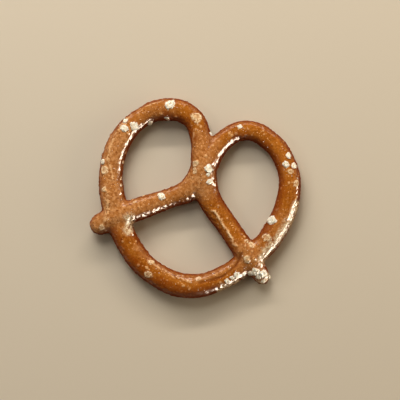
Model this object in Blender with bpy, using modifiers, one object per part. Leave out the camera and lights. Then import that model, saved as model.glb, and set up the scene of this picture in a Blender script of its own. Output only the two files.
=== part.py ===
"""A mini hard pretzel with coarse salt, lying on its flat underside.

The dough is one rope, fused where it crosses itself, so the pretzel is one solid. The rope
runs from the tip at the left join up across the middle, round the right lobe, along the
bottom, round the left lobe, and back across the middle to the tip at the right join.

Metres, +Z up. +Y points to the dip between the lobes. The origin is on the surface that the
pretzel rests on, below the middle of its outline.
"""

import math
import random
from collections import namedtuple

import bmesh
import bpy
from mathutils import Matrix, Vector
from mathutils.bvhtree import BVHTree

MM = 0.001

# The rope's stations, in mm: its middle seen from above, half its width there, and how far
# it rides up over the rope that it crosses.
Station = namedtuple("Station", "x y half_width lift")
ROPE = (
    Station(-19.3, -11.7, 2.5, 0.3),  # left tip
    Station(-16.2, -8.9, 2.7, 0.7),  # over the ring at the left
    Station(-10.4, -4.5, 2.7, 0.1),
    Station(-5.4, -0.7, 2.4, 0.0),
    Station(-1.5, 2.7, 2.8, 0.0),
    Station(0.2, 8.5, 2.9, 0.0),  # under the crossing
    Station(2.4, 15.8, 2.4, 0.0),
    Station(7.0, 19.9, 2.4, 0.0),  # top of the right lobe
    Station(13.2, 19.0, 2.4, 0.0),
    Station(18.0, 15.2, 2.5, 0.0),
    Station(20.8, 9.5, 2.7, 0.0),
    Station(20.2, -1.7, 2.8, 0.0),
    Station(17.0, -8.4, 2.7, 0.0),  # under the right tip
    Station(11.9, -15.0, 2.7, 0.0),
    Station(5.3, -19.1, 2.9, 0.0),  # bottom of the ring
    Station(-4.0, -18.6, 2.8, 0.0),
    Station(-10.9, -14.5, 2.8, 0.0),
    Station(-16.3, -8.1, 2.9, 0.0),  # under the left tip
    Station(-18.5, -4.3, 3.0, 0.0),
    Station(-20.4, 0.3, 2.8, 0.0),
    Station(-20.7, 8.9, 2.7, 0.0),
    Station(-17.6, 15.4, 2.4, 0.0),
    Station(-12.3, 19.1, 2.7, 0.0),  # top of the left lobe
    Station(-6.4, 19.0, 2.6, 0.0),
    Station(-2.6, 14.7, 2.6, 0.2),
    Station(0.0, 8.4, 2.9, 0.5),  # over the crossing
    Station(3.1, 2.3, 2.8, 0.1),
    Station(9.0, -2.6, 2.6, 0.1),
    Station(16.8, -8.8, 2.6, 0.7),  # over the ring at the right
    Station(20.9, -12.1, 1.9, 0.3),  # right tip
)

# The rope's cross-section, as parts of its half width.
SECTION_HEIGHT = 0.93
SECTION_SQUARENESS = 2.25  # 2 is an ellipse, and more is fuller at the shoulders
BAKED_FLAT = 0.38 * MM  # how far the underside sank before it set

# The rope's ends are rounded: how far past the last station they reach, and how level their
# middle stays as they narrow, as parts of the half width and of the height there.
TIP_STEPS = 4
TIP_REACH = 0.8
TIP_LEVEL = 0.7

FUSE_CELL = 0.4 * MM  # the crossings are filled to about this radius
FILLET_PASSES = 10
SOLID_TRIANGLES = 7000

# Salt, in mm: where each crystal lies seen from above, and its width.
Salt = namedtuple("Salt", "x y width")
CRYSTALS = (
    Salt(-12.0, 20.0, 2.1),
    Salt(-20.9, 13.4, 1.2),
    Salt(-20.6, 11.6, 1.7),
    Salt(-18.4, 12.9, 1.9),
    Salt(-15.1, 14.4, 1.3),
    Salt(-11.7, 16.9, 1.2),
    Salt(-0.2, 17.0, 1.1),
    Salt(5.3, 20.1, 1.2),
    Salt(18.1, 17.0, 1.4),
    Salt(18.3, 14.7, 1.5),
    Salt(20.1, 15.1, 1.4),
    Salt(19.0, 1.2, 1.9),
    Salt(20.9, -11.2, 1.9),
    Salt(19.0, -11.4, 1.8),
    Salt(17.8, -12.2, 1.4),
    Salt(21.3, -12.9, 1.0),
    Salt(15.0, -13.4, 1.4),
    Salt(13.4, -15.4, 1.2),
    Salt(1.4, 8.3, 1.9),
    Salt(2.5, 5.5, 1.4),
    Salt(-7.3, -1.0, 1.7),
    Salt(-23.0, 2.5, 1.1),
)
MELTED_SALT = (
    Salt(-5.0, 19.2, 2.6),
    Salt(19.8, 13.3, 1.3),
    Salt(22.0, 11.2, 1.6),
    Salt(19.0, -3.0, 2.1),
    Salt(16.2, -5.5, 1.6),
    Salt(16.2, -9.2, 1.9),
    Salt(-2.0, 8.5, 1.7),
    Salt(-22.0, 0.8, 1.9),
    Salt(-20.6, -3.5, 1.4),
    Salt(-18.3, -12.2, 1.4),
    Salt(-5.0, -16.4, 1.4),
    Salt(-4.7, -19.5, 1.9),
)
CRYSTAL_HEIGHT = 0.75  # parts of its width
MELTED_HEIGHT = 0.3
SUNK = 0.12  # how deep a crystal's middle lies in the crust, in parts of its height
SALT_SEED = 7

CRUST_COLOUR = (0.42, 0.17, 0.045, 1.0)


def remove_scene_objects():
    for thing in list(bpy.data.objects):
        bpy.data.objects.remove(thing)


def new_collection(name):
    collection = bpy.data.collections.new(name)
    bpy.context.scene.collection.children.link(collection)
    return collection


def crust_material():
    material = bpy.data.materials.new("crust")
    material.use_nodes = True
    surface = material.node_tree.nodes["Principled BSDF"]
    surface.inputs["Base Color"].default_value = CRUST_COLOUR
    surface.inputs["Roughness"].default_value = 0.35
    surface.inputs["Metallic"].default_value = 0.0
    return material


def superellipse(angle, squareness):
    """A point of the unit superellipse, whose shoulders are fuller than a circle's."""
    across = math.copysign(abs(math.cos(angle)) ** (2 / squareness), math.cos(angle))
    up = math.copysign(abs(math.sin(angle)) ** (2 / squareness), math.sin(angle))
    return across, up


def section_curve(guides):
    """The cross-section of a rope whose half width is 1 mm."""
    points = 20
    curve = bpy.data.curves.new("section", "CURVE")
    spline = curve.splines.new("POLY")
    spline.points.add(points - 1)
    spline.use_cyclic_u = True
    for index, point in enumerate(spline.points):
        across, up = superellipse(math.tau * index / points, SECTION_SQUARENESS)
        point.co = (across * MM, up * SECTION_HEIGHT * MM, 0, 1)
    section = bpy.data.objects.new("section", curve)
    section.hide_render = True
    section.display_type = "WIRE"
    guides.objects.link(section)
    return section


def rounded_tip(tip, neighbour):
    """Stations past the tip that close it like the end of a finger, the last one first."""
    out = Vector((tip.x - neighbour.x, tip.y - neighbour.y)).normalized()
    stations = []
    for step in range(TIP_STEPS, 0, -1):
        angle = 0.5 * math.pi * step / (TIP_STEPS + 0.5)
        reach = TIP_REACH * tip.half_width * math.sin(angle)
        half_width = tip.half_width * math.cos(angle)
        lift = tip.lift + TIP_LEVEL * SECTION_HEIGHT * (tip.half_width - half_width)
        stations.append(Station(tip.x + out.x * reach, tip.y + out.y * reach, half_width, lift))
    return stations


def all_stations():
    first_tip = rounded_tip(ROPE[0], ROPE[1])
    last_tip = rounded_tip(ROPE[-1], ROPE[-2])
    return first_tip + list(ROPE) + last_tip[::-1]


def rope_curve(section):
    stations = all_stations()
    curve = bpy.data.curves.new("rope", "CURVE")
    curve.dimensions = "3D"
    curve.twist_mode = "Z_UP"
    curve.resolution_u = 8
    curve.bevel_mode = "OBJECT"
    curve.bevel_object = section
    curve.use_fill_caps = True
    spline = curve.splines.new("BEZIER")
    spline.radius_interpolation = "CARDINAL"
    spline.bezier_points.add(len(stations) - 1)
    for point, station in zip(spline.bezier_points, stations):
        middle = SECTION_HEIGHT * station.half_width * MM - BAKED_FLAT + station.lift * MM
        point.co = (station.x * MM, station.y * MM, middle)
        point.radius = station.half_width
        point.handle_left_type = "AUTO"
        point.handle_right_type = "AUTO"
    return bpy.data.objects.new("rope", curve)


def mesh_of_curve(curve_object, name, collection):
    """A mesh object with welded caps in place of a curve object, which is removed."""
    bpy.context.view_layer.update()
    evaluated = curve_object.evaluated_get(bpy.context.evaluated_depsgraph_get())
    mesh = bpy.data.meshes.new_from_object(evaluated)
    shape = bmesh.new()
    shape.from_mesh(mesh)
    bmesh.ops.remove_doubles(shape, verts=shape.verts, dist=0.0001 * MM)
    bmesh.ops.recalc_face_normals(shape, faces=shape.faces)
    shape.to_mesh(mesh)
    shape.free()
    thing = bpy.data.objects.new(name, mesh)
    thing.matrix_world = curve_object.matrix_world
    collection.objects.link(thing)
    bpy.data.objects.remove(curve_object)
    return thing


def apply_modifiers(thing):
    bpy.context.view_layer.update()
    evaluated = thing.evaluated_get(bpy.context.evaluated_depsgraph_get())
    mesh = bpy.data.meshes.new_from_object(evaluated)
    thing.modifiers.clear()
    thing.data = mesh


def fuse(thing):
    """Turns the crossing rope into one skin with a fillet along every crossing."""
    remesh = thing.modifiers.new("fuse", "REMESH")
    remesh.mode = "VOXEL"
    remesh.voxel_size = FUSE_CELL
    fillet = thing.modifiers.new("fillet", "SMOOTH")
    fillet.iterations = FILLET_PASSES
    apply_modifiers(thing)
    thin_out = thing.modifiers.new("thin_out", "DECIMATE")
    thin_out.ratio = SOLID_TRIANGLES / (2 * len(thing.data.polygons))
    apply_modifiers(thing)


def flatten_underside(thing, guides):
    """Cuts the pretzel off at the surface that it was baked on."""
    depth = 4 * MM
    mesh = bpy.data.meshes.new("oven_floor")
    shape = bmesh.new()
    bmesh.ops.create_cube(shape, size=1.0)
    bmesh.ops.scale(shape, verts=shape.verts, vec=(80 * MM, 80 * MM, depth))
    bmesh.ops.translate(shape, verts=shape.verts, vec=(0, 0, -depth / 2))
    shape.to_mesh(mesh)
    shape.free()
    floor = bpy.data.objects.new("oven_floor", mesh)
    floor.hide_render = True
    floor.display_type = "WIRE"
    guides.objects.link(floor)
    cut = thing.modifiers.new("flatten", "BOOLEAN")
    cut.operation = "DIFFERENCE"
    cut.object = floor
    apply_modifiers(thing)


def surface_below(tree, x, y):
    """Where salt dropped at this place comes to lie, and the crust's normal there."""
    place, normal, _, _ = tree.ray_cast(Vector((x, y, 20 * MM)), Vector((0, 0, -1)))
    if place is None:
        place, normal, _, _ = tree.find_nearest(Vector((x, y, 3 * MM)))
    return place, normal


def salt_grain(salt, height, tree, draw, collection):
    """A rough crystal, seated in the crust and leaning with it."""
    shape = bmesh.new()
    bmesh.ops.create_icosphere(shape, subdivisions=1, radius=0.5)
    for vertex in shape.verts:
        vertex.co *= draw.uniform(0.85, 1.15)
    width = salt.width * MM
    size = (width, width * draw.uniform(0.75, 1.0), width * height)
    bmesh.ops.scale(shape, verts=shape.verts, vec=size)
    place, normal = surface_below(tree, salt.x * MM, salt.y * MM)
    spin = Matrix.Rotation(draw.uniform(0, math.tau), 4, "Z")
    lean = normal.to_track_quat("Z", "Y").to_matrix().to_4x4()
    middle = place - normal * (SUNK * width * height)
    bmesh.ops.transform(shape, matrix=Matrix.Translation(middle) @ lean @ spin, verts=shape.verts)
    mesh = bpy.data.meshes.new("salt")
    shape.to_mesh(mesh)
    shape.free()
    collection.objects.link(bpy.data.objects.new("salt", mesh))


def fuse_salt(thing):
    """One union of the crust and all of its salt."""
    draw = random.Random(SALT_SEED)
    tree = BVHTree.FromObject(thing, bpy.context.evaluated_depsgraph_get())
    grains = new_collection("salt")
    for salt in CRYSTALS:
        salt_grain(salt, CRYSTAL_HEIGHT, tree, draw, grains)
    for salt in MELTED_SALT:
        salt_grain(salt, MELTED_HEIGHT, tree, draw, grains)
    union = thing.modifiers.new("salt", "BOOLEAN")
    union.operation = "UNION"
    union.operand_type = "COLLECTION"
    union.collection = grains
    apply_modifiers(thing)
    for grain in list(grains.objects):
        bpy.data.objects.remove(grain)
    bpy.data.collections.remove(grains)


def make_pretzel():
    parts = new_collection("mini_pretzel")
    guides = new_collection("guides")
    rope = rope_curve(section_curve(guides))
    parts.objects.link(rope)
    pretzel = mesh_of_curve(rope, "pretzel", parts)
    fuse(pretzel)
    flatten_underside(pretzel, guides)
    fuse_salt(pretzel)
    pretzel.data.materials.clear()
    pretzel.data.materials.append(crust_material())
    pretzel.data.shade_smooth()
    pretzel.data.set_sharp_from_angle(angle=math.radians(40))


remove_scene_objects()
make_pretzel()
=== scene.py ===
"""The looks of the mini pretzel: its crust, its salt, the floor, the light and the camera.

Lengths are in mm, in the part's own frame, and become metres where an object is made.
"""

import math
import random
from collections import namedtuple

import bmesh
import bpy
import numpy as np
from mathutils import Matrix, Vector, noise
from mathutils.bvhtree import BVHTree


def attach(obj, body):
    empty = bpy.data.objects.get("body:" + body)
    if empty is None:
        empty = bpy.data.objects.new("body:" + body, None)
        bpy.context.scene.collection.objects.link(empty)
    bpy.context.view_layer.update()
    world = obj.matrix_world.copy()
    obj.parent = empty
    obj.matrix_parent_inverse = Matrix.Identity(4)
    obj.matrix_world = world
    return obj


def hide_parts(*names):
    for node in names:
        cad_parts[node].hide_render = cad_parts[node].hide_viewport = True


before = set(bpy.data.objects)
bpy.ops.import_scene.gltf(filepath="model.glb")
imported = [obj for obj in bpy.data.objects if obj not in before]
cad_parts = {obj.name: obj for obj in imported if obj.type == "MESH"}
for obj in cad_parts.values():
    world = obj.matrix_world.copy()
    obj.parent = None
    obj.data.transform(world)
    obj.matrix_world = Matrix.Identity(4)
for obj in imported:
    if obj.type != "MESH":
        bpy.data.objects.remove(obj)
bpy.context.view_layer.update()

MM = 0.001

# The rope's stations: its middle seen from above, half its width there, and how far it rides
# up over the rope that it crosses.
Station = namedtuple("Station", "x y half_width lift")
ROPE = (
    Station(-19.3, -11.7, 2.5, 0.3),  # left tip
    Station(-16.2, -8.9, 2.7, 0.7),  # over the ring at the left
    Station(-10.4, -4.5, 2.7, 0.1),
    Station(-5.4, -0.7, 2.4, 0.0),
    Station(-1.5, 2.7, 2.8, 0.0),
    Station(0.2, 8.5, 2.9, 0.0),  # under the crossing
    Station(2.4, 15.8, 2.4, 0.0),
    Station(7.0, 19.9, 2.4, 0.0),  # top of the right lobe
    Station(13.2, 19.0, 2.4, 0.0),
    Station(18.0, 15.2, 2.5, 0.0),
    Station(20.8, 9.5, 2.7, 0.0),
    Station(20.2, -1.7, 2.8, 0.0),
    Station(17.0, -8.4, 2.7, 0.0),  # under the right tip
    Station(11.9, -15.0, 2.7, 0.0),
    Station(5.3, -19.1, 2.9, 0.0),  # bottom of the ring
    Station(-4.0, -18.6, 2.8, 0.0),
    Station(-10.9, -14.5, 2.8, 0.0),
    Station(-16.3, -8.1, 2.9, 0.0),  # under the left tip
    Station(-18.5, -4.3, 3.0, 0.0),
    Station(-20.4, 0.3, 2.8, 0.0),
    Station(-20.7, 8.9, 2.7, 0.0),
    Station(-17.6, 15.4, 2.4, 0.0),
    Station(-12.3, 19.1, 2.7, 0.0),  # top of the left lobe
    Station(-6.4, 19.0, 2.6, 0.0),
    Station(-2.6, 14.7, 2.6, 0.2),
    Station(0.0, 8.4, 2.9, 0.5),  # over the crossing
    Station(3.1, 2.3, 2.8, 0.1),
    Station(9.0, -2.6, 2.6, 0.1),
    Station(16.8, -8.8, 2.6, 0.7),  # over the ring at the right
    Station(20.9, -12.1, 1.9, 0.3),  # right tip
)
ROPE_STEPS = 8  # from one station to the next
SECTION_POINTS = 20
SECTION_HEIGHT = 0.93
SECTION_SQUARENESS = 2.25
BAKED_FLAT = 0.38
TIP_STEPS = 4
TIP_REACH = 0.8
TIP_LEVEL = 0.7
WELD_REACH = 0.0001
FUSE_CELL = 0.42
FINE_CELL = 0.5 * FUSE_CELL
FILLET_PASSES = 10

# Salt: where each crystal lies seen from above, and its width.
Salt = namedtuple("Salt", "x y width")
CRYSTALS = (
    Salt(-12.0, 20.0, 2.1),
    Salt(-20.9, 13.4, 1.2),
    Salt(-20.6, 11.6, 1.7),
    Salt(-18.4, 12.9, 1.9),
    Salt(-15.1, 14.4, 1.3),
    Salt(-11.7, 16.9, 1.2),
    Salt(-0.2, 17.0, 1.1),
    Salt(5.3, 20.1, 1.2),
    Salt(18.1, 17.0, 1.4),
    Salt(18.3, 14.7, 1.5),
    Salt(20.1, 15.1, 1.4),
    Salt(19.0, 1.2, 1.9),
    Salt(20.9, -11.2, 1.9),
    Salt(19.0, -11.4, 1.8),
    Salt(17.8, -12.2, 1.4),
    Salt(21.3, -12.9, 1.0),
    Salt(15.0, -13.4, 1.4),
    Salt(13.4, -15.4, 1.2),
    Salt(1.4, 8.3, 1.9),
    Salt(2.5, 5.5, 1.4),
    Salt(-7.3, -1.0, 1.7),
    Salt(-23.0, 2.5, 1.1),
)
MELTED_SALT = (
    Salt(-5.0, 19.2, 2.6),
    Salt(-3.8, 21.0, 0.9),
    Salt(19.8, 13.3, 1.3),
    Salt(22.0, 11.2, 1.6),
    Salt(19.0, -3.0, 2.1),
    Salt(14.9, -5.2, 0.9),
    Salt(16.2, -5.5, 1.6),
    Salt(16.2, -9.2, 1.9),
    Salt(-2.0, 8.5, 1.7),
    Salt(-1.6, 7.0, 1.4),
    Salt(-22.0, 0.8, 1.9),
    Salt(-20.6, -3.5, 1.4),
    Salt(-17.5, 0.2, 0.9),
    Salt(-17.0, -1.3, 0.9),
    Salt(-11.6, -1.9, 0.9),
    Salt(-12.9, -4.2, 0.7),
    Salt(-18.3, -12.2, 1.4),
    Salt(-5.0, -16.4, 1.4),
    Salt(-4.7, -19.5, 1.9),
    Salt(6.7, -16.8, 1.2),
    Salt(-18.0, 4.0, 1.2),
)
SMALL_CRYSTALS = (
    Salt(22.4, -11.4, 0.9),
    Salt(20.0, -12.3, 1.1),
    Salt(16.6, -12.6, 0.9),
    Salt(14.2, -14.3, 0.9),
    Salt(-11.2, 20.6, 0.9),
    Salt(1.7, 6.9, 0.8),
)
SALT_SEED = 7
DROP_HEIGHT = 20  # salt is dropped from here, above everything
MIDDLE_HEIGHT = 3  # a crystal that would miss the rope goes to its nearest place from here
CRYSTAL_SPREAD = 1.2  # how much wider a crystal is than the grain of the solid under it
CRYSTAL_HEIGHT = 0.52  # parts of its width
CRYSTAL_DEPTHS = (0.8, 1.0)  # parts of its width
LARGE_CRYSTAL = 1.5  # a crystal that is wider than this has a finer mesh
SUNK = 0.24  # how deep a crystal's middle lies in the crust, in parts of its height

# A crystal's form: a block with chips off it and with a hollow in its top. How far out its faces
# and chips lie, and the hollow's reach, are in parts of half its width.
BLOCK_FACES = ((1, 0, 0), (-1, 0, 0), (0, 1, 0), (0, -1, 0), (0, 0, 1), (0, 0, -1))
FACES_FAR = (0.85, 1.0)
CHIPS = 12
CHIPS_FAR = (0.98, 1.15)
WORN = 7  # the higher, the sharper a crystal's edges
LUMPS = 0.16
LUMPS_CLOSE = 2.2  # the higher, the closer together
GRIT = 0.3
GRIT_CLOSE = 7
HOLLOW = 0.17  # parts of its height
HOLLOW_REACH = 0.28

CRUMBS = 200
CRUMBS_BESIDE = 0.45  # the part of them that lie beside a crystal
CRUMB_WIDTHS = (0.1, 0.26)
CRUMB_STRAY = 1.8  # how far from the rope's middle the others are dropped, along each axis
CRUMB_UNEVEN = (0.8, 1.2)
CRUMB_SUNK = 0.1  # parts of its width

# Where the crust is paler and matt.
Patch = namedtuple("Patch", "x y width strength")
PALE_PATCHES = (
    Patch(-21.0, 5.0, 16.0, 1.0),
    Patch(-17.0, -5.0, 14.0, 1.0),
    Patch(-20.0, -11.5, 7.0, 1.0),
    Patch(-16.0, 17.0, 12.0, 0.4),
    Patch(-9.0, -3.5, 12.0, 0.8),
    Patch(-1.5, 12.0, 9.0, 0.8),
    Patch(-1.0, 5.0, 11.0, 1.0),
    Patch(17.0, -8.5, 9.0, 0.7),
    Patch(20.5, 1.0, 7.0, 0.4),
)
PATCH_FADE = (0.6, 1.3)  # from full to nothing, in parts of half its width

# Low ridges along the rope and, with a height below 0, creases, as lines seen from above.
# Their crests carry painted highlights, and the creases painted shade.
Ridge = namedtuple("Ridge", "height width line")
RIDGES = (
    Ridge(0.22, 0.75, ((5.6, -0.7), (8.0, -2.7), (10.6, -4.9), (12.8, -6.8))),  # the dough's seam
    Ridge(0.12, 1.2, ((-19.4, -4.4), (-18.3, -7.6), (-17.8, -10.4))),
    Ridge(0.08, 0.6, ((-4.9, 16.2), (-3.5, 11.7), (-3.0, 8.7))),
    Ridge(0.1, 0.5, ((-19.0, 16.5), (-17.5, 17.9), (-15.5, 19.4), (-13.8, 20.3))),
    Ridge(0.13, 0.45, ((22.8, 8.4), (22.7, 6.9), (22.5, 4.6), (22.1, 2.5))),
    Ridge(0.13, 0.8, (
        (-21.0, 14.0), (-21.8, 10.9), (-22.3, 5.8), (-22.0, 3.4), (-20.4, 1.4), (-19.6, -0.8),
    )),
    Ridge(0.12, 0.8, ((-4.6, -16.3), (-3.8, -16.8), (1.3, -18.1), (5.4, -18.0))),
    Ridge(-0.17, 0.9, (  # under the right tip
        (7.4, -17.7), (11.8, -14.9), (14.0, -11.6), (14.6, -8.1),
    )),
    Ridge(-0.12, 0.7, ((0.1, 17.0), (0.1, 14.6), (-0.2, 12.8))),  # under the crossing
)
UPPER_HALF = 2.0  # ridges lie above this height

# Bands along the rope, as lines seen from above. The seed is that of their uneven edges.
Band = namedtuple("Band", "width seed lines")
DUST_AND_GLARE_BAND = Band(2.0, 21, (  # the rope's side, where fine salt dusts it, with a painted glare
    ((23.4, 6.8), (23.4, 4.0), (22.6, 0.4), (21.5, -3.0), (19.9, -6.2), (19.6, -8.2)),
    ((22.6, -11.0), (22.2, -13.0), (19.6, -14.0), (17.0, -13.9), (14.6, -15.9), (12.6, -17.8)),
    ((-12.9, -7.8), (-12.5, -9.6), (-12.3, -11.2)),
))
PALE = Band(2.4, 41, (  # the rope's inner side at the bottom of the ring
    ((-8.8, -14.0), (-3.6, -16.2), (1.5, -17.2), (6.0, -17.0), (10.3, -14.2), (12.9, -11.0)),
))
DARK = Band(2.7, 42, (  # the darkest sides: partly baked darker, partly painted shade
    ((-15.5, -12.6), (-11.9, -16.2), (-4.8, -20.4), (5.6, -21.0), (11.0, -18.2)),
    ((5.8, 17.6), (7.9, 18.1), (12.3, 17.2), (16.4, 14.2), (18.9, 9.0), (18.4, -1.2)),
    ((-11.7, 17.2), (-7.4, 17.2), (-4.6, 14.2)),
))
PALE_STRENGTH = 0.8
BAND_FADE = (0.3, 1.5)  # from full to nothing, in parts of half its width
BAND_UNEVEN = 0.5
BAND_UNEVEN_WIDTH = 1.5
DUST_LEVELS = (1.4, 3.4)  # the heights where the dust of salt and its painted glare start and where they are full

# Unevenness: how tall and how wide its bumps are, in mm, and the seed of its noise.
Bumps = namedtuple("Bumps", "height width seed")
SWELL = Bumps(0.10, 7.0, 1)
RIPPLE = Bumps(0.03, 2.2, 2)
WRINKLE = Bumps(0.11, 0.6, 4)
DUST = Bumps(0.08, 0.4, 22)
BELT_PITS = Bumps(0.2, 0.9, 5)
RIDGE_WANDER = (Bumps(0.3, 1.8, 31), Bumps(0.3, 1.8, 32))

# Unevenness of other measures, whose height is not in mm.
PATCH_EDGE = Bumps(0.25, 5.0, 3)
RIDGE_STRENGTH = Bumps(0.5, 1.5, 33)
MELT_EDGES = (Bumps(1.0, 0.9, 11), Bumps(0.8, 0.45, 12))

BLISTER = 0.08
BLISTER_WIDTH = 0.55
BLISTER_SPACING = 1.7  # blister widths
BLISTER_STEEPNESS = 1.9
TALL_BLISTERS_RARE = 5  # the higher, the fewer of the blisters are tall
TALL_BLISTER = 1.5  # what a tall one adds to its height, in parts of BLISTER
SMOOTH_BLISTER = 0.25  # how much of a blister is left where the crust isn't rough
SMOOTH_RIPPLE = 0.5
CELL_STEP = 31.7  # takes each blister to a cell of its own, which sets its strength
SEED_STEPS = (17.3, 5.1, 9.7)  # how far one seed's noise lies from the next one's

# A melted grain, in parts of half its width: where it ends, and the ring of salt inside its edge.
MELT_UNEVEN = 0.42
MELT_FADE = (0.75, 1.1)
MELT_RING = 0.72
MELT_RING_WIDTH = 0.22
MELT_RIM = 0.13  # mm
MELT_COVER_INSIDE = 0.35  # how much salt there is inside the ring
MELT_LEVEL_INSIDE = 0.45  # how high the grain is inside the ring

RELIEF_START = (0.0, 0.6)  # the relief grows from nothing to full between these heights
WRINKLE_FADE = (0.75, 0.95)  # how level the crust is where wrinkles are full, and where they end

# The flat underside is what lies below this height and faces down at least this much.
BELT_HEIGHT = 0.01
BELT_FACING = -0.9

# The marks on the crust that its material shows.
PAINTED = ("rough", "melted_salt", "dust_and_glare", "dark", "blister", "crest", "crease")

# The colours, in the 0 to 255 steps of a picture.
COLOURS = {
    "brown": (155, 82, 12),
    "light brown": (178, 103, 28),
    "brown grain": (200, 128, 52),
    "tan": (180, 114, 55),
    "light tan": (213, 151, 93),
    "dark grain": (128, 62, 12),
    # Paler specks, partly the crust's own and partly painted glints on its small bumps.
    "speck and glint": (228, 172, 112),
    # The darkest sides: partly a darker bake, partly painted shade.
    "dark side and painted shade": (138, 56, 2),
    # The ridges' crests and the seam: painted highlights.
    "crest": (232, 180, 124),
    "seam": (250, 214, 164),
    "pore": (120, 56, 14),
    # Painted shade in the creases.
    "crease": (118, 56, 10),
    # The walls: darker and redder than the top, partly the crust's own colour and partly painted
    # shade.
    "shaded wall": (124, 53, 8),
    "belt": (128, 72, 28),
    "light belt": (176, 120, 66),
    "melted salt": (255, 226, 178),
    # Fine salt on the rope's side, with a painted glare over it.
    "dust_and_glare": (246, 222, 180),
    "salt": (246, 228, 198),
    "white salt": (255, 250, 234),
    "salt pit": (206, 174, 128),
    "floor": (216, 203, 181),
    "room": (228, 212, 184),
}

# Masks made of noise: how wide its features are, in mm, its detail, and the values of the noise
# where the mask is 0 and where it has its full strength.
Speckle = namedtuple("Speckle", "width detail low high strength", defaults=(1.0,))
BROWN_PATCHES = Speckle(5.0, 3, 0.35, 0.65)
BROWN_GRAIN = Speckle(0.5, 4, 0.46, 0.62, 0.5)
MOTTLE = Speckle(0.7, 6, 0.38, 0.68)
DARK_GRAIN = Speckle(0.6, 3, 0.5, 0.36, 0.4)
SPECKS_AND_GLINTS = Speckle(0.42, 1, 0.67, 0.72)
FLECKS = Speckle(0.6, 2, 0.4, 0.55)
PORES = Speckle(0.55, 2, 0.36, 0.28)
SALT_GRAINS = Speckle(0.32, 2, 0.32, 0.52)
DUST_CLUMPS = Speckle(0.9, 6, 0.3, 0.62)
CRYSTAL_GRIT = Speckle(0.45, 5, 0.35, 0.65)
CRYSTAL_PITS = Speckle(0.3, 2, 0.42, 0.34)
BUMP_DETAIL = 4

# Masks made of a mark on the crust: the values of the mark where the mask is 0 and where it is
# full, and for the dark sides also how strong the mask is at either end.
BLISTER_GLINT_TOPS = (0.15, 0.6)
LOW_CREST_HIGHLIGHTS = (0.03, 0.13)
SEAM_HIGHLIGHTS = (0.14, 0.2)
CREASE_SHADE = (0.02, 0.25)
DARK_AND_SHADED_SIDES = (0.0, 1.0, 0.0, 0.55)

# Masks made of the way the crust faces, which is 1 straight up, 0 on a wall and -1 straight down.
TOPSIDE = (0.45, 1.0)
ROUGH_TOPSIDE = (0.25, 0.97)
UNDERSIDE = (0.05, -0.75)
MATT_TOP = (0.8, 0.95)
MATT_SIDES = (0.5, 0.25)
COAT_BESIDE_TOP = (0.97, 0.78)
COAT_ABOVE_SIDES = (0.5, 0.72)

ROUGHNESSES = (0.28, 0.6)  # where the crust is glossy, and where it is matt
DUSTY_COAT = 0.4  # how much of the coat is left under the dust of salt

# A mix node has sockets for each type of value, and these are the ones for colours.
MIX_MASK = 0
MIX_UNDER = 6
MIX_OVER = 7
MIX_RESULT = 2

# The photograph's frame, seen from straight above: what its middle looks at, its width, and
# how far it is turned. The camera leans towards the picture's lower edge.
VIEW_MIDDLE = (1.48, 0.89, 2.3)
VIEW_WIDTH = 94.0
VIEW_TURN = math.radians(17.5)
VIEW_LEAN = math.radians(5)
VIEW_LEAN_AWAY = math.radians(25)  # from the picture's downward direction towards its right
VIEW_DISTANCE = 350.0
VIEW_START = 10.0
SENSOR = 36.0

# The lamps: the way to each one in the picture's rightward and downward directions, its
# elevation in degrees, its distance and size, its watts and its colour, and whether it lights
# the surfaces and whether they mirror it.
Lamp = namedtuple("Lamp", "name right down elevation distance size power colour lights mirrored")
LAMPS = (
    Lamp("window", 0.84, 0.54, 15, 400, (520, 220), 12.0, (1.0, 0.9, 0.74), False, True),
    Lamp("glow", 1.0, 0.0, 22, 400, (400, 160), 0.5, (1.0, 0.84, 0.6), True, False),
    Lamp("far_window", -0.1, -1.0, 30, 500, (700, 45), 2.1, (1.0, 0.95, 0.9), True, True),
    Lamp("skylight", -1.0, 0.1, 50, 500, (160, 100), 0.2, (1.0, 0.97, 0.93), True, True),
    Lamp("sky", -0.3, -1.0, 48, 500, (260, 260), 1.14, (1.0, 0.98, 0.95), True, False),
)
ROOM_STRENGTH = 0.09
FLOOR_REACH = 3000.0


def plain(name, data):
    thing = bpy.data.objects.new(name, data)
    bpy.context.scene.collection.objects.link(thing)
    return thing


def superellipse(angle, squareness):
    across = math.copysign(abs(math.cos(angle)) ** (2 / squareness), math.cos(angle))
    up = math.copysign(abs(math.sin(angle)) ** (2 / squareness), math.sin(angle))
    return across, up


def section_curve():
    """The rope's section, for a rope with half a width of 1."""
    curve = bpy.data.curves.new("section", "CURVE")
    spline = curve.splines.new("POLY")
    spline.points.add(SECTION_POINTS - 1)
    spline.use_cyclic_u = True
    for index, point in enumerate(spline.points):
        across, up = superellipse(math.tau * index / SECTION_POINTS, SECTION_SQUARENESS)
        point.co = (across * MM, up * SECTION_HEIGHT * MM, 0, 1)
    return plain("section", curve)


def rounded_tip(tip, neighbour):
    """The stations beyond the tip that round off the rope's end, from the outermost one in."""
    out = Vector((tip.x - neighbour.x, tip.y - neighbour.y)).normalized()
    stations = []
    for step in range(TIP_STEPS, 0, -1):
        angle = 0.5 * math.pi * step / (TIP_STEPS + 0.5)
        reach = TIP_REACH * tip.half_width * math.sin(angle)
        half_width = tip.half_width * math.cos(angle)
        lift = tip.lift + TIP_LEVEL * SECTION_HEIGHT * (tip.half_width - half_width)
        stations.append(Station(tip.x + out.x * reach, tip.y + out.y * reach, half_width, lift))
    return stations


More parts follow.
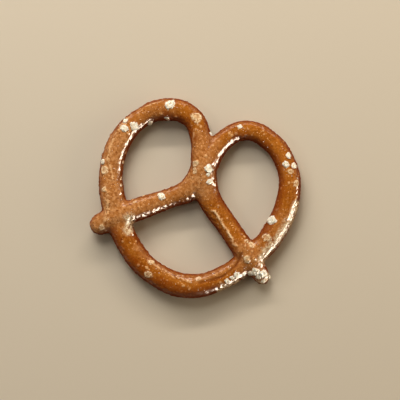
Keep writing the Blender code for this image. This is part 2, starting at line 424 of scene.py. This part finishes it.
def rope_curve(section):
    stations = rounded_tip(ROPE[0], ROPE[1]) + list(ROPE) + rounded_tip(ROPE[-1], ROPE[-2])[::-1]
    curve = bpy.data.curves.new("rope", "CURVE")
    curve.dimensions = "3D"
    curve.twist_mode = "Z_UP"
    curve.resolution_u = ROPE_STEPS
    curve.bevel_mode = "OBJECT"
    curve.bevel_object = section
    curve.use_fill_caps = True
    spline = curve.splines.new("BEZIER")
    spline.radius_interpolation = "CARDINAL"
    spline.bezier_points.add(len(stations) - 1)
    for point, station in zip(spline.bezier_points, stations):
        middle = SECTION_HEIGHT * station.half_width - BAKED_FLAT + station.lift
        point.co = Vector((station.x, station.y, middle)) * MM
        point.radius = station.half_width
        point.handle_left_type = "AUTO"
        point.handle_right_type = "AUTO"
    return plain("rope", curve)


def evaluated_mesh(thing):
    bpy.context.view_layer.update()
    return bpy.data.meshes.new_from_object(thing.evaluated_get(bpy.context.evaluated_depsgraph_get()))


def bake_modifiers(thing):
    mesh = evaluated_mesh(thing)
    thing.modifiers.clear()
    thing.data = mesh


def weld(mesh):
    """Join the mesh's doubled points and turn its faces outwards."""
    shape = bmesh.new()
    shape.from_mesh(mesh)
    bmesh.ops.remove_doubles(shape, verts=shape.verts, dist=WELD_REACH * MM)
    bmesh.ops.recalc_face_normals(shape, faces=shape.faces)
    shape.to_mesh(mesh)
    shape.free()


def fused_rope():
    """The rope as one skin, with a fillet along every crossing and a fine mesh for the relief."""
    section = section_curve()
    rope = rope_curve(section)
    mesh = evaluated_mesh(rope)
    bpy.data.objects.remove(rope)
    bpy.data.objects.remove(section)
    weld(mesh)
    crust = plain("crust", mesh)
    remesh = crust.modifiers.new("fuse", "REMESH")
    remesh.mode = "VOXEL"
    remesh.voxel_size = FUSE_CELL * MM
    fillet = crust.modifiers.new("fillet", "SMOOTH")
    fillet.iterations = FILLET_PASSES
    fine = crust.modifiers.new("fine", "SUBSURF")
    fine.levels = 1
    fine.render_levels = 1
    bake_modifiers(crust)
    return crust


def places_and_normals(mesh):
    """The vertices' places in mm and their normals, one row each."""
    places = np.empty(len(mesh.vertices) * 3)
    mesh.vertices.foreach_get("co", places)
    normals = np.empty(len(mesh.vertices) * 3)
    mesh.vertex_normals.foreach_get("vector", normals)
    return places.reshape(-1, 3) / MM, normals.reshape(-1, 3)


def noise_at(places, width, seed):
    """Smooth noise from -1 to 1 with bumps about this wide, at each of the places."""
    shift = Vector([seed * step for step in SEED_STEPS])
    return np.array([noise.noise(Vector(place) / width + shift) for place in places])


def uneven(bumps, places):
    return bumps.height * noise_at(places, bumps.width, bumps.seed)


def smooth_step(low, high, value):
    part = np.clip((value - low) / (high - low), 0, 1)
    return part * part * (3 - 2 * part)


def roughness_mask(places):
    """1 where the crust is rough, matt and paler, and 0 where it is brown and glossy."""
    rough = np.zeros(len(places))
    wobble = uneven(PATCH_EDGE, places)
    for patch in PALE_PATCHES:
        away = np.hypot(places[:, 0] - patch.x, places[:, 1] - patch.y) / (0.5 * patch.width)
        rough = np.maximum(rough, patch.strength * (1 - smooth_step(*PATCH_FADE, away + wobble)))
    return rough


def blisters(places):
    """Small domes, a few of them tall: the height of all, and the height of the tall ones."""
    low = np.zeros(len(places))
    tall = np.zeros(len(places))
    for index, place in enumerate(places):
        distances, points = noise.voronoi(Vector(place) / (BLISTER_SPACING * BLISTER_WIDTH))
        strength = 0.5 + 0.5 * noise.cell(points[0] * CELL_STEP)
        dome = max(0.0, 1 - (distances[0] * BLISTER_STEEPNESS) ** 2)
        low[index] = dome * strength
        tall[index] = dome * strength ** TALL_BLISTERS_RARE
    return low, tall


def melted_salt(places):
    """How much salt lies melted into the crust at each place, and the height of its rim."""
    cover = np.zeros(len(places))
    rim = np.zeros(len(places))
    wobble = uneven(MELT_EDGES[0], places) + uneven(MELT_EDGES[1], places)
    for salt in MELTED_SALT:
        beside = np.hypot(places[:, 0] - salt.x, places[:, 1] - salt.y)
        level = places[beside < beside.min() + FINE_CELL, 2].max()
        away = np.hypot(beside, places[:, 2] - level) / (0.5 * salt.width) + MELT_UNEVEN * wobble
        inside = 1 - smooth_step(*MELT_FADE, away)
        ring = np.exp(-((away - MELT_RING) / MELT_RING_WIDTH) ** 2)
        cover = np.maximum(cover, inside * (MELT_COVER_INSIDE + (1 - MELT_COVER_INSIDE) * ring))
        rim = np.maximum(rim, MELT_LEVEL_INSIDE * inside + (1 - MELT_LEVEL_INSIDE) * ring)
    return cover, rim


def distance_to(line, places):
    """How far each place is from the line, both seen from above."""
    nearest = np.full(len(places), np.inf)
    for start, end in zip(line, line[1:]):
        along = np.subtract(end, start)
        part = np.clip((places - start) @ along / (along @ along), 0, 1)
        away = places - start - part[:, None] * along
        nearest = np.minimum(nearest, np.hypot(away[:, 0], away[:, 1]))
    return nearest


def ridges(places):
    """The height of the ridges at each place on the rope's upper half, and of the creases."""
    up = np.zeros(len(places))
    down = np.zeros(len(places))
    wander = np.stack([uneven(bumps, places) for bumps in RIDGE_WANDER], axis=1)
    strength = 1 + uneven(RIDGE_STRENGTH, places)
    for ridge in RIDGES:
        away = distance_to(ridge.line, places[:, :2] + wander) / (0.5 * ridge.width)
        height = ridge.height * strength * np.exp(-(away ** 2))
        height = np.where(places[:, 2] > UPPER_HALF, height, 0)
        up += np.maximum(height, 0)
        down += np.minimum(height, 0)
    return up, down


def band_along(band, places):
    """1 on the band's lines, seen from above, and down to 0 at its uneven edges."""
    away = np.min([distance_to(line, places[:, :2]) for line in band.lines], axis=0)
    edge = BAND_UNEVEN * noise_at(places, BAND_UNEVEN_WIDTH, band.seed)
    return 1 - smooth_step(*BAND_FADE, away / (0.5 * band.width) + edge)


def crust_marks(places):
    """What the crust is like at each of the places: the strength of each mark, under its name."""
    cover, rim = melted_salt(places)
    low, tall = blisters(places)
    up, down = ridges(places)
    return {
        "rough": np.maximum(roughness_mask(places), PALE_STRENGTH * band_along(PALE, places)),
        "melted_salt": cover,
        "melted_rim": rim,
        # Fine salt dust, with a painted glare, on the band along the side.
        "dust_and_glare": band_along(DUST_AND_GLARE_BAND, places) * smooth_step(*DUST_LEVELS, places[:, 2]),
        "low_blister": low,
        "blister": tall,
        "crest": up,
        "crease": -down,
    }


def relief(places, normals, marks):
    """How far the crust stands out at each of the places."""
    height = uneven(SWELL, places)
    height += uneven(RIPPLE, places) * (SMOOTH_RIPPLE + marks["rough"])
    low = marks["low_blister"] * (SMOOTH_BLISTER + (1 - SMOOTH_BLISTER) * marks["rough"])
    height += BLISTER * (low + TALL_BLISTER * marks["blister"])
    height += MELT_RIM * marks["melted_rim"] + marks["crest"] - marks["crease"]
    height += DUST.height * marks["dust_and_glare"] * noise_at(places, DUST.width, DUST.seed)
    height += uneven(WRINKLE, places) * (1 - smooth_step(*WRINKLE_FADE, normals[:, 2]))
    return height


def with_relief(places, normals, height):
    """The places moved out by the relief, and up into the pits of the flat underside."""
    side = smooth_step(*RELIEF_START, places[:, 2])
    places = places + normals * (height * side)[:, None]
    places[:, 2] = np.maximum(places[:, 2], 0)
    baked_flat = (places[:, 2] < BELT_HEIGHT) & (normals[:, 2] < BELT_FACING)
    places[:, 2] += np.where(baked_flat, np.maximum(uneven(BELT_PITS, places), 0), 0)
    return places


def store(mesh, name, values):
    attribute = mesh.attributes.new(name, "FLOAT", "POINT")
    attribute.data.foreach_set("value", values.astype(np.float32))


def make_crust():
    crust = fused_rope()
    mesh = crust.data
    places, normals = places_and_normals(mesh)
    marks = crust_marks(places)
    places = with_relief(places, normals, relief(places, normals, marks))
    # The darkest sides, partly a darker bake and partly painted shade.
    marks["dark"] = band_along(DARK, places)
    mesh.vertices.foreach_set("co", (places * MM).ravel())
    for name in PAINTED:
        store(mesh, name, marks[name])
    mesh.update()
    mesh.shade_smooth()
    mesh.materials.clear()
    mesh.materials.append(crust_material())
    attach(crust, "root")
    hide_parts("pretzel")
    return crust


def straight_below(tree, x, y):
    """Where salt dropped at this place meets the crust, and the normal there, if it meets it."""
    place, normal, _, _ = tree.ray_cast(Vector((x, y, DROP_HEIGHT)) * MM, Vector((0, 0, -1)))
    return place, normal


def surface_below(tree, x, y):
    """Where a crystal dropped at this place comes to lie, and the crust's normal there."""
    place, normal = straight_below(tree, x, y)
    if place is None:
        place, normal, _, _ = tree.find_nearest(Vector((x, y, MIDDLE_HEIGHT)) * MM)
    return place, normal


def facets(draw):
    """The planes of a chipped block: where each one faces and how far out it lies."""
    planes = [(Vector(axis), draw.uniform(*FACES_FAR)) for axis in BLOCK_FACES]
    for _ in range(CHIPS):
        facing = Vector((draw.gauss(0, 1), draw.gauss(0, 1), draw.gauss(0, 1))).normalized()
        planes.append((facing, draw.uniform(*CHIPS_FAR)))
    return planes


def chipped_block(shape, detail, planes, seed):
    """A block one unit across with worn edges, a gritty skin and a hollow in its top."""
    vertices = bmesh.ops.create_icosphere(shape, subdivisions=detail, radius=1.0)["verts"]
    for vertex in vertices:
        out = vertex.co.normalized()
        pull = sum(max(0.0, out.dot(facing) / far) ** WORN for facing, far in planes)
        reach = pull ** (-1 / WORN)
        reach *= 1 + LUMPS * noise.noise(out * LUMPS_CLOSE + Vector((seed, 0, 0)))
        reach *= 1 + GRIT * noise.noise(out * GRIT_CLOSE + Vector((0, seed, 0)))
        across = math.hypot(out.x, out.y)
        hollow = HOLLOW * math.exp(-((across / HOLLOW_REACH) ** 2)) if out.z > 0 else 0.0
        vertex.co = out * (0.5 * reach) - Vector((0, 0, hollow))
    return vertices


def crystal(shape, salt, tree, draw):
    """A lump of pressed salt, seated in the crust."""
    seed = draw.uniform(0, 100)
    detail = 4 if salt.width > LARGE_CRYSTAL else 3
    vertices = chipped_block(shape, detail, facets(draw), seed)
    parts = Vector((1, draw.uniform(*CRYSTAL_DEPTHS), CRYSTAL_HEIGHT))
    size = parts * (CRYSTAL_SPREAD * salt.width * MM)
    place, normal = surface_below(tree, salt.x, salt.y)
    spin = Matrix.Rotation(draw.uniform(0, math.tau), 4, "Z")
    lean = normal.to_track_quat("Z", "Y").to_matrix().to_4x4()
    middle = Matrix.Translation(place - normal * (SUNK * size.z))
    matrix = middle @ lean @ spin @ Matrix.Diagonal((*size, 1))
    bmesh.ops.transform(shape, matrix=matrix, verts=vertices)


def crumb(shape, place, normal, draw):
    """A crumb of salt, too small for more than a few facets."""
    vertices = bmesh.ops.create_icosphere(shape, subdivisions=1, radius=0.5)["verts"]
    for vertex in vertices:
        vertex.co *= draw.uniform(*CRUMB_UNEVEN)
    size = draw.uniform(*CRUMB_WIDTHS) * MM
    middle = Matrix.Translation(place - normal * CRUMB_SUNK * size)
    spin = Matrix.Rotation(draw.uniform(0, math.tau), 4, normal)
    bmesh.ops.transform(shape, matrix=middle @ spin @ Matrix.Scale(size, 4), verts=vertices)


def scatter_crumbs(shape, tree, draw):
    """Crumbs that came off the crystals: many of them beside one, the rest all over."""
    for _ in range(CRUMBS):
        if draw.random() < CRUMBS_BESIDE:
            salt = draw.choice(CRYSTALS)
            x, y = draw.gauss(salt.x, salt.width), draw.gauss(salt.y, salt.width)
        else:
            station, following = draw.choice(list(zip(ROPE, ROPE[1:])))
            part = draw.random()
            x = station.x + part * (following.x - station.x) + draw.uniform(-CRUMB_STRAY, CRUMB_STRAY)
            y = station.y + part * (following.y - station.y) + draw.uniform(-CRUMB_STRAY, CRUMB_STRAY)
        place, normal = straight_below(tree, x, y)
        if place is not None:
            crumb(shape, place, normal, draw)


def make_salt(crust):
    draw = random.Random(SALT_SEED)
    tree = BVHTree.FromObject(crust, bpy.context.evaluated_depsgraph_get())
    shape = bmesh.new()
    for salt in CRYSTALS + SMALL_CRYSTALS:
        crystal(shape, salt, tree, draw)
    scatter_crumbs(shape, tree, draw)
    mesh = bpy.data.meshes.new("salt_crystals")
    shape.to_mesh(mesh)
    shape.free()
    mesh.shade_smooth()
    mesh.materials.append(salt_material())
    salt = plain("salt_crystals", mesh)
    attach(salt, "root")


def nodes_of(name):
    """A new material, its node tree and its surface shader."""
    material = bpy.data.materials.new(name)
    material.use_nodes = True
    return material, material.node_tree, material.node_tree.nodes["Principled BSDF"]


def linear(name):
    """The colour with this name, in Blender's linear values."""
    values = [channel / 255 for channel in COLOURS[name]]
    return [v / 12.92 if v <= 0.04045 else ((v + 0.055) / 1.055) ** 2.4 for v in values] + [1.0]


def colour_mix(tree, mask, under, over):
    """One colour over another where the mask is high; each is a socket or a colour's name."""
    mix = tree.nodes.new("ShaderNodeMix")
    mix.data_type = "RGBA"
    tree.links.new(mask, mix.inputs[MIX_MASK])
    for index, colour in ((MIX_UNDER, under), (MIX_OVER, over)):
        if isinstance(colour, str):
            mix.inputs[index].default_value = linear(colour)
        else:
            tree.links.new(colour, mix.inputs[index])
    return mix.outputs[MIX_RESULT]


def painted(tree, colour, layers):
    """The colour with the layers laid over it in turn, each a mask and a colour."""
    for mask, over in layers:
        colour = colour_mix(tree, mask, colour, over)
    return colour


def spread(tree, value, low, high, to_low=0.0, to_high=1.0):
    """The value's range from low to high, eased and mapped onto another range."""
    mapped = tree.nodes.new("ShaderNodeMapRange")
    mapped.interpolation_type = "SMOOTHSTEP"
    tree.links.new(value, mapped.inputs["Value"])
    mapped.inputs["From Min"].default_value = low
    mapped.inputs["From Max"].default_value = high
    mapped.inputs["To Min"].default_value = to_low
    mapped.inputs["To Max"].default_value = to_high
    return mapped.outputs["Result"]


def combine(tree, operation, first, second):
    node = tree.nodes.new("ShaderNodeMath")
    node.operation = operation
    tree.links.new(first, node.inputs[0])
    tree.links.new(second, node.inputs[1])
    return node.outputs[0]


def object_place(tree):
    return tree.nodes.new("ShaderNodeTexCoord").outputs["Object"]


def upward(tree):
    """1 where the surface faces straight up, 0 on a wall and -1 straight down."""
    facing = tree.nodes.new("ShaderNodeSeparateXYZ")
    tree.links.new(tree.nodes.new("ShaderNodeNewGeometry").outputs["Normal"], facing.inputs[0])
    return facing.outputs["Z"]


def noise_texture(tree, where, width, detail):
    """Noise with features about this many mm wide."""
    texture = tree.nodes.new("ShaderNodeTexNoise")
    tree.links.new(where, texture.inputs["Vector"])
    texture.inputs["Scale"].default_value = 1 / (width * MM)
    texture.inputs["Detail"].default_value = detail
    return texture.outputs["Fac"]


def noise_mask(tree, where, speckle):
    texture = noise_texture(tree, where, speckle.width, speckle.detail)
    return spread(tree, texture, speckle.low, speckle.high, 0, speckle.strength)


def attribute(tree, name):
    node = tree.nodes.new("ShaderNodeAttribute")
    node.attribute_name = name
    return node.outputs["Fac"]


def add_bump(tree, surface, where, width, height, strength):
    """Grit on the surface, this many mm wide and high."""
    bump = tree.nodes.new("ShaderNodeBump")
    bump.inputs["Strength"].default_value = strength
    bump.inputs["Distance"].default_value = height * MM
    tree.links.new(noise_texture(tree, where, width, BUMP_DETAIL), bump.inputs["Height"])
    tree.links.new(bump.outputs["Normal"], surface.inputs["Normal"])


def top_colour(tree, where, mottle, grains):
    """The upper side: brown, or tan where it is rough, and paler on what stands out of it, partly as
    painted highlights; its dark sides are partly painted shade and its creases painted shade.
    """
    brown = colour_mix(tree, noise_mask(tree, where, BROWN_PATCHES), "brown", "light brown")
    brown = colour_mix(tree, noise_mask(tree, where, BROWN_GRAIN), brown, "brown grain")
    tan = colour_mix(tree, mottle, "tan", "light tan")
    # Pale specks and the tall blisters' tops: partly paler crust, partly painted glints.
    blister_glints = spread(tree, attribute(tree, "blister"), *BLISTER_GLINT_TOPS)
    specks_and_glints = combine(tree, "MAXIMUM", noise_mask(tree, where, SPECKS_AND_GLINTS), blister_glints)
    low_crest_highlights = spread(tree, attribute(tree, "crest"), *LOW_CREST_HIGHLIGHTS)
    seam_highlights = spread(tree, attribute(tree, "crest"), *SEAM_HIGHLIGHTS)
    return painted(tree, colour_mix(tree, attribute(tree, "rough"), brown, tan), (
        (noise_mask(tree, where, DARK_GRAIN), "dark grain"),
        (specks_and_glints, "speck and glint"),
        # Partly a darker bake, partly painted shade.
        (spread(tree, attribute(tree, "dark"), *DARK_AND_SHADED_SIDES), "dark side and painted shade"),
        # Painted highlights along the ridges' crests and, brighter, along the seam.
        (combine(tree, "MULTIPLY", low_crest_highlights, noise_mask(tree, where, FLECKS)), "crest"),
        (combine(tree, "MULTIPLY", seam_highlights, grains), "seam"),
        (noise_mask(tree, where, PORES), "pore"),
        # Painted shade in the creases.
        (spread(tree, attribute(tree, "crease"), *CREASE_SHADE), "crease"),
    ))


def baked_colour(tree, where, up, grains):
    """The whole crust: its upper side, its darker walls, partly their own colour and partly painted
    shade, and its paler underside.
    """
    mottle = noise_mask(tree, where, MOTTLE)
    top = top_colour(tree, where, mottle, grains)
    rough_topside = spread(tree, up, *ROUGH_TOPSIDE)
    rough_topside = combine(tree, "MULTIPLY", attribute(tree, "rough"), rough_topside)
    topside = combine(tree, "MAXIMUM", rough_topside, spread(tree, up, *TOPSIDE))
    # The walls' darker colour is partly the crust's own and partly painted shade.
    crust = colour_mix(tree, topside, "shaded wall", top)
    belt = colour_mix(tree, mottle, "belt", "light belt")
    return colour_mix(tree, spread(tree, up, *UNDERSIDE), crust, belt)


def set_gloss(tree, surface, up, dust_and_glare):
    """Matt on top, low on the sides and under the dust, with a clear coat on the slopes."""
    matt = combine(tree, "MAXIMUM", spread(tree, up, *MATT_TOP), spread(tree, up, *MATT_SIDES))
    matt = combine(tree, "MAXIMUM", matt, dust_and_glare)
    tree.links.new(spread(tree, matt, 0, 1, *ROUGHNESSES), surface.inputs["Roughness"])
    surface.inputs["Specular IOR Level"].default_value = 0.02
    coat = spread(tree, up, *COAT_BESIDE_TOP)
    coat = combine(tree, "MULTIPLY", coat, spread(tree, up, *COAT_ABOVE_SIDES))
    coat = combine(tree, "MULTIPLY", coat, spread(tree, dust_and_glare, 0, 1, 1, DUSTY_COAT))
    tree.links.new(coat, surface.inputs["Coat Weight"])
    surface.inputs["Coat Roughness"].default_value = 0.22


def crust_material():
    material, tree, surface = nodes_of("crust")
    where = object_place(tree)
    up = upward(tree)
    grains = noise_mask(tree, where, SALT_GRAINS)
    melted = combine(tree, "MULTIPLY", attribute(tree, "melted_salt"), grains)
    # The dust band carries fine salt and a painted glare.
    clumps = noise_mask(tree, where, DUST_CLUMPS)
    dust_and_glare = combine(tree, "MULTIPLY", attribute(tree, "dust_and_glare"), clumps)
    dust_and_glare = combine(tree, "MULTIPLY", dust_and_glare, grains)
    baked = baked_colour(tree, where, up, grains)
    salted = painted(tree, baked, ((melted, "melted salt"), (dust_and_glare, "dust_and_glare")))
    tree.links.new(salted, surface.inputs["Base Color"])
    set_gloss(tree, surface, up, dust_and_glare)
    add_bump(tree, surface, where, width=0.35, height=0.07, strength=0.9)
    return material


def salt_material():
    material, tree, surface = nodes_of("salt")
    where = object_place(tree)
    colour = colour_mix(tree, noise_mask(tree, where, CRYSTAL_GRIT), "salt", "white salt")
    colour = colour_mix(tree, noise_mask(tree, where, CRYSTAL_PITS), colour, "salt pit")
    tree.links.new(colour, surface.inputs["Base Color"])
    surface.inputs["Roughness"].default_value = 0.35
    surface.inputs["Specular IOR Level"].default_value = 0.5
    surface.inputs["Subsurface Weight"].default_value = 0.3
    surface.inputs["Subsurface Scale"].default_value = 0.3 * MM
    surface.inputs["Subsurface Radius"].default_value = (1.0, 0.9, 0.75)
    add_bump(tree, surface, where, width=0.2, height=0.06, strength=0.4)
    return material


def in_picture(right, down):
    """A direction along the floor, from the picture's rightward and downward directions."""
    cos, sin = math.cos(VIEW_TURN), math.sin(VIEW_TURN)
    return Vector((cos * right + sin * down, sin * right - cos * down, 0))


def make_floor():
    mesh = bpy.data.meshes.new("floor")
    shape = bmesh.new()
    bmesh.ops.create_grid(shape, x_segments=1, y_segments=1, size=FLOOR_REACH * MM)
    shape.to_mesh(mesh)
    shape.free()
    material, _, surface = nodes_of("floor")
    surface.inputs["Base Color"].default_value = linear("floor")
    surface.inputs["Roughness"].default_value = 0.9
    surface.inputs["Specular IOR Level"].default_value = 0.0
    mesh.materials.append(material)
    plain("floor", mesh)


def hang(lamp):
    """A soft rectangular lamp that looks at the pretzel."""
    light = bpy.data.lights.new(lamp.name, "AREA")
    light.shape = "RECTANGLE"
    light.size = lamp.size[0] * MM
    light.size_y = lamp.size[1] * MM
    light.energy = lamp.power
    light.color = lamp.colour
    thing = plain(lamp.name, light)
    elevation = math.radians(lamp.elevation)
    flat = in_picture(lamp.right, lamp.down).normalized() * math.cos(elevation)
    away = Vector((flat.x, flat.y, math.sin(elevation)))
    thing.location = away * lamp.distance * MM
    thing.rotation_euler = away.to_track_quat("Z", "Y").to_euler()
    thing.visible_diffuse = lamp.lights
    thing.visible_glossy = lamp.mirrored


def make_lights():
    for lamp in LAMPS:
        hang(lamp)
    world = bpy.data.worlds.new("room")
    world.use_nodes = True
    background = world.node_tree.nodes["Background"]
    background.inputs["Color"].default_value = linear("room")
    background.inputs["Strength"].default_value = ROOM_STRENGTH
    bpy.context.scene.world = world
    bpy.context.scene.view_settings.view_transform = "Standard"


def make_camera():
    lens = bpy.data.cameras.new("camera")
    lens.sensor_width = SENSOR
    lens.lens = SENSOR * VIEW_DISTANCE / VIEW_WIDTH
    lens.clip_start = VIEW_START * MM
    camera = plain("camera", lens)
    right, down = in_picture(1, 0), in_picture(0, 1)
    lean = down * math.cos(VIEW_LEAN_AWAY) + right * math.sin(VIEW_LEAN_AWAY)
    back = (Vector((0, 0, 1)) * math.cos(VIEW_LEAN) + lean * math.sin(VIEW_LEAN)).normalized()
    up = (-down - back * back.dot(-down)).normalized()
    side = up.cross(back)
    turn = Matrix((side, up, back)).transposed().to_4x4()
    place = Vector(VIEW_MIDDLE) * MM + back * VIEW_DISTANCE * MM
    camera.matrix_world = Matrix.Translation(place) @ turn
    bpy.context.scene.camera = camera


make_camera()
make_lights()
make_floor()
make_salt(make_crust())
